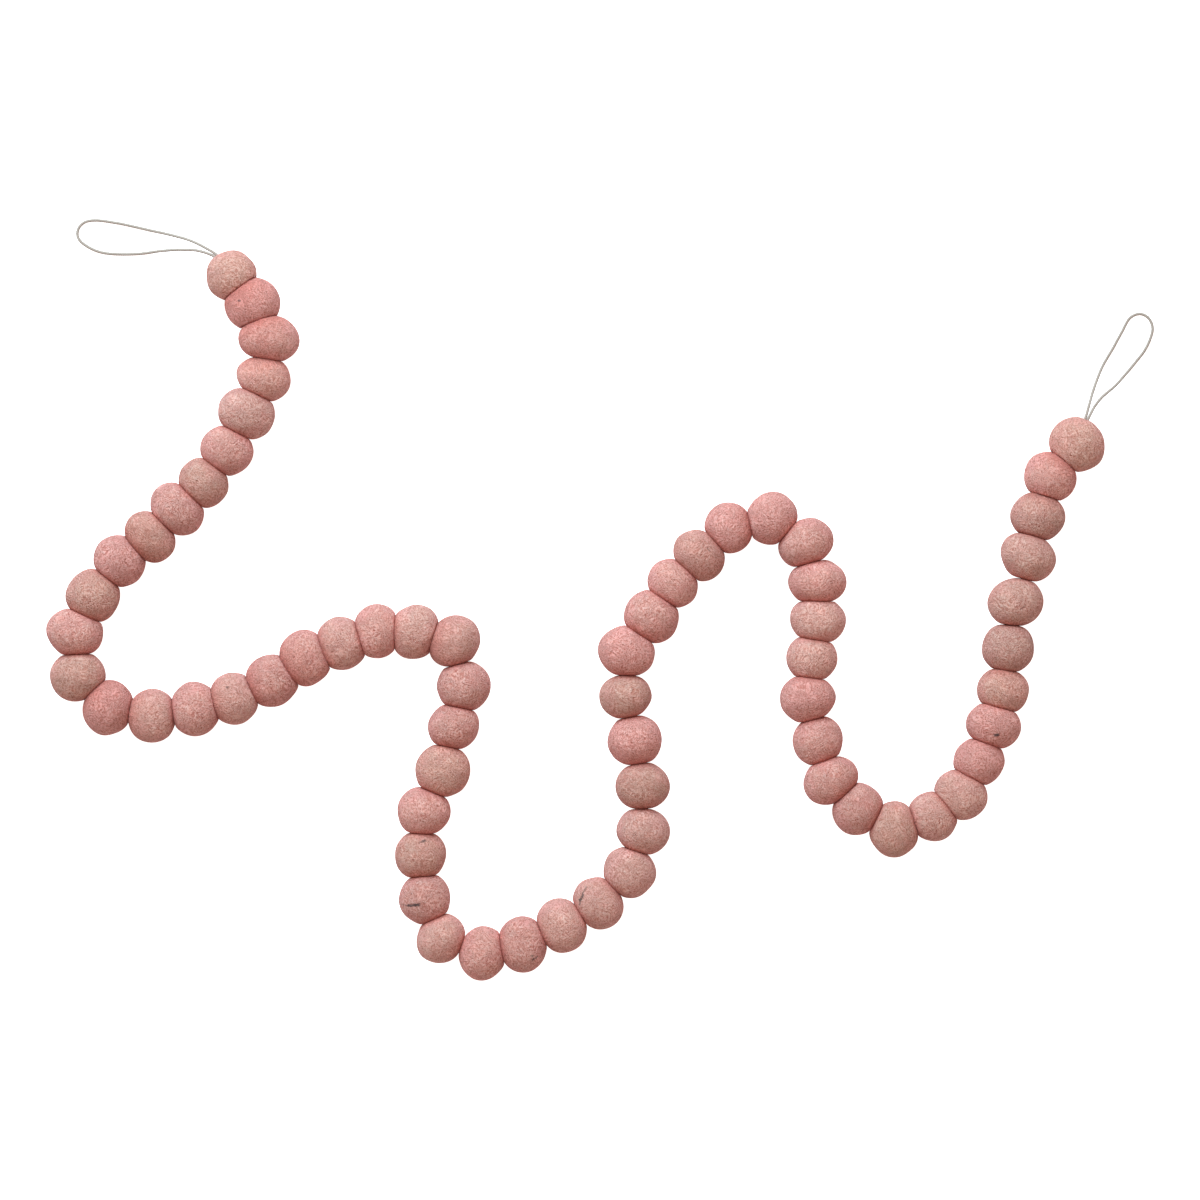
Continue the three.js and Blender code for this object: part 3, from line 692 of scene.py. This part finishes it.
@dataclass(frozen=True)
class CottonFinish:
    """Undyed twisted cotton: pale, dry and a little grey."""

    pale: tuple = (0.495, 0.427, 0.378, 1.0)
    shade: tuple = (0.315, 0.264, 0.227, 1.0)
    fibre_width: float = 0.00022
    swirl: float = 0.002
    pale_share: float = 0.9
    roughest: float = 0.95
    smoothest: float = 0.8
    bump_share: float = 0.6
    specular: float = 0.15
    sheen: float = 0.1

    def material(self) -> bpy.types.Material:
        """Build the cotton's material.

        Returns:
            The material.
        """
        material = bpy.data.materials.new("cotton_string")
        material.use_nodes = True
        sheet = NodeSheet(material.node_tree)
        cotton = material.node_tree.nodes["Principled BSDF"]
        place = sheet.add("TexCoord").outputs["Object"]
        fibres = sheet.add("Group", node_tree=Groups.fibres())
        fibres.inputs["Fibre Width"].default_value = self.fibre_width
        fibres.inputs["Swirl"].default_value = self.swirl
        sheet.feed(place, fibres.inputs["Vector"])
        factor = sheet.maths("MULTIPLY", fibres.outputs["Grain"], self.pale_share)
        sheet.feed(sheet.mix(factor, self.shade, self.pale), cotton.inputs["Base Color"])
        dryness = {"Value": fibres.outputs["Strokes"], "To Min": self.roughest, "To Max": self.smoothest}
        roughness = sheet.add("MapRange", dryness)
        sheet.feed(roughness.outputs["Result"], cotton.inputs["Roughness"])
        bump = sheet.add("Bump", {"Strength": 0.5, "Distance": self.fibre_width * self.bump_share})
        sheet.feed(fibres.outputs["Height"], bump.inputs["Height"])
        sheet.feed(bump.outputs["Normal"], cotton.inputs["Normal"])
        cotton.inputs["Specular IOR Level"].default_value = self.specular
        cotton.inputs["Sheen Weight"].default_value = self.sheen
        return material


# Each wool's colours: crown against flush is partly painted top light, deep is the painted shade of
# creases and low rims, and shade is the darkest mottle and the painted shade of hollows, pits and crease
# bottoms
WOOLS = {
    ROSE: WoolFinish(
        tint=ROSE,
        crown=(0.785, 0.404, 0.343, 1),
        flush=(0.811, 0.370, 0.338, 1),
        pale=(0.876, 0.680, 0.625, 1),
        shade=(0.423, 0.124, 0.093, 1),
        deep=(0.765, 0.195, 0.156, 1),
    ),
    BLUSH: WoolFinish(
        tint=BLUSH,
        crown=(0.779, 0.434, 0.364, 1),
        flush=(0.798, 0.399, 0.360, 1),
        pale=(0.870, 0.710, 0.644, 1),
        shade=(0.432, 0.143, 0.107, 1),
        deep=(0.764, 0.219, 0.173, 1),
    ),
    SAND: WoolFinish(
        tint=SAND,
        crown=(0.725, 0.404, 0.328, 1),
        flush=(0.751, 0.353, 0.308, 1),
        pale=(0.820, 0.652, 0.572, 1),
        shade=(0.391, 0.129, 0.091, 1),
        deep=(0.708, 0.185, 0.140, 1),
    ),
    CLAY: WoolFinish(
        tint=CLAY,
        crown=(0.680, 0.388, 0.320, 1),
        flush=(0.706, 0.349, 0.305, 1),
        pale=(0.775, 0.628, 0.552, 1),
        shade=(0.358, 0.120, 0.088, 1),
        deep=(0.658, 0.180, 0.139, 1),
    ),
}


@dataclass
class FeltBall:
    """One felt ball, an egg-shaped round that its neighbours press on, in millimetres."""

    number: int
    x: float
    y: float
    across: float
    along: float
    turn: float
    egg: float
    gives: float
    tint: Tint
    typical_tall: float = 32.4
    tall_share: float = 0.5
    settle: float = 0.5
    least_share: float = 0.15

    def __post_init__(self) -> None:
        """Work out the ball's middle and its axes."""
        tall = self.typical_tall * (1 - self.tall_share) + self.across * self.tall_share
        self.half_tall = tall / 2
        self.centre = np.array([self.x, self.y, tall / 2 - self.settle])
        self.across_axis = level(self.turn)
        self.along_axis = level(self.turn + 90)
        self.gives = min(max(self.gives, self.least_share), 1 - self.least_share)

    def own_radius(self, directions: np.ndarray) -> np.ndarray:
        """How far the unpressed surface is from the middle, in each direction.

        Args:
            directions: unit vectors, one a row.

        Returns:
            The distances, in millimetres.
        """
        across = directions @ self.across_axis
        along = directions @ self.along_axis
        half_along = self.along / 2 * (1 + self.egg * across)
        scaled = (across / (self.across / 2)) ** 2 + (along / half_along) ** 2
        return 1 / np.sqrt(scaled + (directions[:, 2] / self.half_tall) ** 2)

    def depth(self, points: np.ndarray) -> np.ndarray:
        """How deep points are: 0 in the middle and 1 on the unpressed surface.

        Args:
            points: the points, in millimetres, one a row.

        Returns:
            The depths.
        """
        offset = points - self.centre
        distance = np.maximum(np.linalg.norm(offset, axis=1), 1e-6)
        return distance / self.own_radius(offset / distance[:, None])


@dataclass
class Seam:
    """The pressed face between a ball and the next one on the string."""

    ball: FeltBall
    following: FeltBall
    halvings: int = 26

    def balance(self, points: np.ndarray) -> np.ndarray:
        """Above zero on the ball's side of the pressed face, below zero on the next ball's side."""
        near = (1 - self.ball.depth(points)) * (1 - self.ball.gives)
        return near - (1 - self.following.depth(points)) * self.ball.gives

    def reach(self, ball: FeltBall, directions: np.ndarray) -> np.ndarray:
        """How far the pressed face is from the middle of one of its balls.

        Args:
            ball: the ball that the directions start from.
            directions: unit vectors, one a row.

        Returns:
            The distances, in millimetres.
        """
        sign = 1 if ball is self.ball else -1
        low = np.zeros(len(directions))
        span = np.linalg.norm(self.following.centre - self.ball.centre)
        high = np.full(len(directions), span + ball.across / 2)
        for _ in range(self.halvings):
            middle = (low + high) / 2
            inside = sign * self.balance(ball.centre + directions * middle[:, None]) > 0
            low = np.where(inside, middle, low)
            high = np.where(inside, high, middle)
        return (low + high) / 2


@dataclass
class FeltBalls:
    """All the balls, pressed together in their winding line."""

    cells: int = 24
    crease_sharpness: float = 42
    half_gap: float = -0.10
    lump_height: float = 0.30
    lump_lengths: tuple = (9.0, 26.0)
    lump_waves: int = 26
    # crease width: how far the painted crease shade spreads from a crease, in millimetres
    painted_crease_shade_width: float = 1.7
    tone_step: float = 0.05
    dimple_depth: float = 1.3
    dimple_width: float = 2.3
    balls: list = field(default_factory=list)
    seams: list = field(default_factory=list)

    def __post_init__(self) -> None:
        """Read the table and pair up the neighbours."""
        for number, row in enumerate(BALL_ROWS, start=1):
            self.balls.append(FeltBall(number, **dict(zip(BALL_COLUMNS, row))))
        pairs = zip(self.balls[:-1], self.balls[1:])
        self.seams = [Seam(ball, following) for ball, following in pairs]

    def node(self, number: int) -> str:
        """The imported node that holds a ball.

        Args:
            number: the ball's number along the string.

        Returns:
            The node's name.
        """
        if number in JOINED_TO_NEXT:
            return f"balls_{number:02d}_{number + 1:02d}"
        if number - 1 in JOINED_TO_NEXT:
            return f"balls_{number - 1:02d}_{number:02d}"
        return f"ball_{number:02d}"

    def round_grid(self) -> tuple:
        """Even directions over a ball from the six sides of a cube.

        Returns:
            The unit vectors, one a row, and the four-sided faces between them.
        """
        steps = np.tan(np.linspace(-math.pi / 4, math.pi / 4, self.cells + 1))
        numbers: dict = {}
        points = []
        faces = []
        for axis in range(3):
            for sign in (-1.0, 1.0):
                corner_rows = []
                for first in steps:
                    row = []
                    for second in steps:
                        place = np.empty(3)
                        place[axis] = sign
                        place[(axis + 1) % 3] = first
                        place[(axis + 2) % 3] = second
                        key = tuple(np.round(place, 6))
                        if key not in numbers:
                            numbers[key] = len(points)
                            points.append(place / np.linalg.norm(place))
                        row.append(numbers[key])
                    corner_rows.append(row)
                for low, high in zip(corner_rows[:-1], corner_rows[1:]):
                    for index in range(self.cells):
                        face = [low[index], high[index], high[index + 1], low[index + 1]]
                        faces.append(face if sign > 0 else face[::-1])
        return np.array(points), faces

    def lumps(self, ball: FeltBall, directions: np.ndarray) -> np.ndarray:
        """The small unevenness of hand-felted wool, in millimetres, in each direction.

        Args:
            ball: the ball, whose number seeds its lumps.
            directions: unit vectors, one a row.

        Returns:
            How far the surface stands out, in millimetres.
        """
        dice = np.random.RandomState(ball.number)
        total = np.zeros(len(directions))
        for _ in range(self.lump_waves):
            length = dice.uniform(*self.lump_lengths)
            heading = dice.normal(size=3)
            heading /= np.linalg.norm(heading)
            phase = dice.uniform(0, 2 * math.pi)
            waves = directions @ heading * (ball.across / 2) * 2 * math.pi / length
            total += np.sin(waves + phase) * length / self.lump_lengths[1]
        return total * self.lump_height / math.sqrt(self.lump_waves / 2)

    def dimple(self, ball: FeltBall, directions: np.ndarray) -> np.ndarray:
        """How far the string's hole draws an end ball in, in millimetres, in each direction.

        Args:
            ball: the ball.
            directions: unit vectors, one a row.

        Returns:
            How far the surface is drawn in, which is nothing on the other balls.
        """
        turns = {1: EXIT_TURNS[End.LEFT], len(self.balls): EXIT_TURNS[End.RIGHT]}
        if ball.number not in turns:
            return np.zeros(len(directions))
        away = np.linalg.norm(directions - level(turns[ball.number]), axis=1) * ball.across / 2
        return self.dimple_depth * np.exp(-((away / self.dimple_width) ** 2))

    def surface(self, ball: FeltBall, directions: np.ndarray) -> tuple:
        """Press a ball's round surface against its neighbours.

        Args:
            ball: the ball.
            directions: unit vectors from its middle, one a row.

        Returns:
            The surface's points, in metres, and how near each is to a crease, from 0 to 1, which sets
            the painted crease shade.
        """
        own = ball.own_radius(directions) + self.lumps(ball, directions) - self.dimple(ball, directions)
        touching = [seam for seam in self.seams if ball in (seam.ball, seam.following)]
        reaches = [own] + [seam.reach(ball, directions) - self.half_gap for seam in touching]
        total = sum((reach / own) ** -self.crease_sharpness for reach in reaches)
        radius = own * total ** (-1 / self.crease_sharpness)
        points = ball.centre + directions * radius[:, None]
        points[:, 2] = np.maximum(points[:, 2], 0.0)
        room = np.min(reaches[1:], axis=0) - radius
        return points * MM, np.exp(-np.maximum(room, 0) / self.painted_crease_shade_width)

    def material(self, ball: FeltBall, plain: dict) -> bpy.types.Material:
        """A ball's wool, with its dark wisps if it has any.

        Args:
            ball: the ball.
            plain: the wools without wisps, by tint, which this adds to.

        Returns:
            The material.
        """
        rows = [Wisp(**dict(zip(WISP_COLUMNS, row))) for row in WISP_ROWS]
        wisps = tuple(wisp for wisp in rows if wisp.ball == ball.number)
        if wisps:
            return WOOLS[ball.tint].material(wisps)
        if ball.tint not in plain:
            plain[ball.tint] = WOOLS[ball.tint].material()
        return plain[ball.tint]

    def build(self) -> list:
        """Make every ball's piece.

        Returns:
            The pieces, from the left end of the string.
        """
        directions, faces = self.round_grid()
        plain: dict = {}
        pieces = []
        for ball in self.balls:
            name = f"felt_ball_{ball.number:02d}"
            points, crease = self.surface(ball, directions)
            mesh = smooth_mesh(name, points, faces)
            steps = (ball.number in LIGHTER_BALLS) - (ball.number in DEEPER_BALLS)
            pinker = float(ball.number in PINKER_BALLS)
            # The crease closeness goes onto the mesh to set the painted crease shade
            values = {PAINTED_CREASE_SHADE: crease, TONE: 1 + self.tone_step * steps, PINKER: pinker}
            for key, value in values.items():
                spread = np.broadcast_to(value, len(points)).astype(np.float32)
                mesh.attributes.new(key, "FLOAT", "POINT").data.foreach_set("value", spread)
            mesh.materials.append(self.material(ball, plain))
            ball_piece = bpy.data.objects.new(name, mesh)
            pieces.append(linked(ball_piece, ball.tint.value, self.node(ball.number)))
        log.info("felt balls: %d pieces of %d points", len(pieces), len(directions))
        return pieces


@dataclass
class HangingLoop:
    """A loop of the string that leaves an end ball, goes round and comes back beside itself."""

    end: End
    balls: FeltBalls
    diameter: float = 1.5
    fuzz: float = 0.22
    strand_offset: float = 0.9
    tail_depth: float = 6.0
    ply_count: int = 3
    ply_pitch: float = 4.2
    ply_depth: float = 0.07
    lowest: float = 0.02
    ring_points: int = 15
    curve_steps: int = 24
    ring_spacing: float = 0.45

    def exit_place(self) -> np.ndarray:
        """Where the string leaves the end ball, in millimetres.

        Returns:
            The place.
        """
        ball = self.balls.balls[0 if self.end is End.LEFT else -1]
        direction = level(EXIT_TURNS[self.end])
        return ball.centre + direction * ball.own_radius(direction[None])[0]

    def inwards(self) -> np.ndarray:
        """The direction from the exit to the first pressed face.

        Returns:
            The unit vector.
        """
        seam = self.balls.seams[0 if self.end is End.LEFT else -1]
        axis = seam.following.centre - seam.ball.centre
        axis = axis / np.linalg.norm(axis)
        middle = seam.ball.centre + axis * seam.reach(seam.ball, axis[None])[0]
        direction = middle - self.exit_place()
        return direction / np.linalg.norm(direction)

    def route(self) -> np.ndarray:
        """The string's given points, from one tail inside the ball to the other.

        Returns:
            The points, in millimetres, one a row.
        """
        side = level(EXIT_TURNS[self.end] + 90)
        places = np.array(LOOP_ROUTES[self.end])
        apart = side * math.copysign(self.strand_offset, (places[0] - places[-1]) @ side)
        leaving = self.exit_place() + apart
        returning = self.exit_place() - apart
        tail = self.inwards() * self.tail_depth
        return np.array([leaving + tail, leaving, *places, returning, returning + tail])

    def centreline(self) -> np.ndarray:
        """The string's smooth line through its given points, evenly stepped, in millimetres.

        Returns:
            The line's points, one a row.
        """
        given = self.route()
        padded = [2 * given[0] - given[1], *given, 2 * given[-1] - given[-2]]
        fine = []
        for before, start, finish, after in zip(padded, padded[1:], padded[2:], padded[3:]):
            first = np.linalg.norm(start - before) ** 0.5
            middle = np.linalg.norm(finish - start) ** 0.5
            last = np.linalg.norm(after - finish) ** 0.5
            leaving = (start - before) / first - (finish - before) / (first + middle)
            leaving = leaving * middle + finish - start
            arriving = (after - finish) / last - (after - start) / (middle + last)
            arriving = arriving * middle + finish - start
            square = 3 * (finish - start) - 2 * leaving - arriving
            cube = 2 * (start - finish) + leaving + arriving
            for share in np.linspace(0, 1, self.curve_steps, endpoint=False):
                fine.append(start + leaving * share + square * share**2 + cube * share**3)
        fine.append(given[-1])
        fine = np.array(fine)
        run = np.concatenate([[0], np.cumsum(np.linalg.norm(np.diff(fine, axis=0), axis=1))])
        even = np.linspace(0, run[-1], int(run[-1] / self.ring_spacing) + 1)
        return np.column_stack([np.interp(even, run, fine[:, column]) for column in range(3)])

    def surface(self, line: np.ndarray) -> np.ndarray:
        """Lay the string's twisted plies around its line.

        Args:
            line: the line's points, in millimetres.

        Returns:
            The surface's points, ring by ring, in millimetres.
        """
        tangents = np.gradient(line, axis=0)
        tangents /= np.linalg.norm(tangents, axis=1)[:, None]
        sides = np.cross(np.array([0.0, 0.0, 1.0]), tangents)
        sides /= np.linalg.norm(sides, axis=1)[:, None]
        rises = np.cross(tangents, sides)
        around = np.arange(self.ring_points) / self.ring_points * 2 * math.pi
        rings = []
        for step, place in enumerate(line):
            twist = step * self.ring_spacing / self.ply_pitch * 2 * math.pi
            bulge = np.abs(np.cos((around - twist) * self.ply_count / 2))
            radius = (self.diameter / 2 + self.fuzz) * (1 - self.ply_depth * 2 * (1 - bulge))
            offset = np.cos(around)[:, None] * sides[step] + np.sin(around)[:, None] * rises[step]
            rings.append(place + offset * radius[:, None])
        points = np.vstack(rings)
        points[:, 2] = np.maximum(points[:, 2], self.lowest)
        return points

    def build(self, cotton: bpy.types.Material) -> bpy.types.Object:
        """Args:
            cotton: the string's material.

        Returns:
            The loop's piece.
        """
        line = self.centreline()
        points = self.surface(line)
        count = self.ring_points
        faces = [list(range(count))[::-1]]
        for low in range(0, (len(line) - 1) * count, count):
            high = low + count
            for column in range(count):
                after = (column + 1) % count
                faces.append([low + column, low + after, high + after, high + column])
        faces.append([len(points) - count + column for column in range(count)])
        name = f"cotton_loop_{self.end.value}"
        mesh = smooth_mesh(name, points * MM, faces)
        mesh.materials.append(cotton)
        loop = bpy.data.objects.new(name, mesh)
        piece = linked(loop, "cotton_string", f"string_loop_{self.end.value}")
        tuple(self.exit_place() * MM)
        return piece


@dataclass(frozen=True)
class SoftLight:
    """A square soft light: its place and side in metres, its power in watts and its colour."""

    name: str
    place: tuple
    size: float
    power: float
    colour: tuple


SOFT_LIGHTS = (
    SoftLight("window_key", (-0.75, 2.05, 2.0), 2.0, 120, (0.74, 1.0, 1.12)),
    SoftLight("soft_fill", (0.3, 0.3, 2.6), 1.8, 10, (1.0, 0.85, 0.76)),
)


@dataclass
class Studio:
    """The pale floor, the soft light and the camera straight above.

    The camera's sizes are in millimetres, and the floor's side is in metres.
    """

    middle: tuple = (14.9, 9.6)
    plane: float = 16.0
    view_width: float = 744.0
    height: float = 3000.0
    sensor: float = 36.0
    floor_size: float = 6.0
    paper_tones: tuple = ((0.93, 0.93, 0.93, 1), (0.96, 0.96, 0.96, 1))
    room_colour: tuple = (1.0, 0.76, 0.66, 1)
    room_strength: float = 0.46

    def camera(self) -> bpy.types.Object:
        """Make the camera, looking straight down, with the photograph's frame.

        Returns:
            The camera.
        """
        data = bpy.data.cameras.new("camera_above")
        camera = bpy.data.objects.new("camera_above", data)
        bpy.context.scene.collection.objects.link(camera)
        data.sensor_width = self.sensor
        data.lens = data.sensor_width * self.height / self.view_width
        data.clip_start = 0.1
        data.clip_end = 20.0
        camera.location = Vector((*self.middle, self.plane + self.height)) * MM
        bpy.context.scene.camera = camera
        return camera

    def floor(self) -> bpy.types.Object:
        """Make the white floor, with a faint uneven tone, that shows white from above.

        Returns:
            The floor.
        """
        half = self.floor_size / 2
        corners = np.array([[-half, -half, 0], [half, -half, 0], [half, half, 0], [-half, half, 0]])
        mesh = smooth_mesh("white_floor", corners, [[0, 1, 2, 3]])
        material = bpy.data.materials.new("white_paper")
        material.use_nodes = True
        sheet = NodeSheet(material.node_tree)
        paper = material.node_tree.nodes["Principled BSDF"]
        place = sheet.add("TexCoord").outputs["Object"]
        tone = sheet.noise(place, 2.0, 2.0).outputs["Fac"]
        sheet.feed(sheet.mix(tone, *self.paper_tones), paper.inputs["Base Color"])
        paper.inputs["Roughness"].default_value = 0.9
        paper.inputs["Specular IOR Level"].default_value = 0.1
        paper.inputs["Emission Color"].default_value = (1, 1, 1, 1)
        seen = sheet.add("LightPath").outputs["Is Camera Ray"]
        sheet.feed(seen, paper.inputs["Emission Strength"])
        mesh.materials.append(material)
        floor = bpy.data.objects.new("white_floor", mesh)
        bpy.context.scene.collection.objects.link(floor)
        return floor

    def lamp(self, light: SoftLight) -> bpy.types.Object:
        """Hang up a soft light that faces the middle of the garland.

        Args:
            light: the light.

        Returns:
            The lamp.
        """
        data = bpy.data.lights.new(light.name, "AREA")
        data.size = light.size
        data.energy = light.power
        data.color = light.colour
        lamp = bpy.data.objects.new(light.name, data)
        lamp.location = light.place
        lamp.rotation_euler = (-Vector(light.place)).to_track_quat("-Z", "Y").to_euler()
        bpy.context.scene.collection.objects.link(lamp)
        return lamp

    def sky(self) -> None:
        """Fill the room with an even pale light."""
        world = bpy.data.worlds.new("pale_room")
        world.use_nodes = True
        glow = world.node_tree.nodes["Background"]
        glow.inputs["Color"].default_value = self.room_colour
        glow.inputs["Strength"].default_value = self.room_strength
        bpy.context.scene.world = world

    def build(self) -> None:
        """Set out the floor, the lights and the sky."""
        self.floor()
        for light in SOFT_LIGHTS:
            self.lamp(light)
        self.sky()
        bpy.context.scene.view_settings.view_transform = "Standard"
        bpy.context.scene.view_settings.look = "None"
        log.info("studio: floor, two soft lights and a pale room")


def main() -> None:
    """Build the camera, the string, the balls and the studio in turn."""
    studio = Studio()
    studio.camera()
    balls = FeltBalls()
    cotton = CottonFinish().material()
    for end in End:
        HangingLoop(end, balls).build(cotton)
    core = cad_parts["string_core"]
    core.data.materials.clear()
    core.data.materials.append(cotton)
    log.info("string_core: the packed string inside the balls, in cotton")
    balls.build()
    studio.build()


if __name__ == "__main__":
    main()
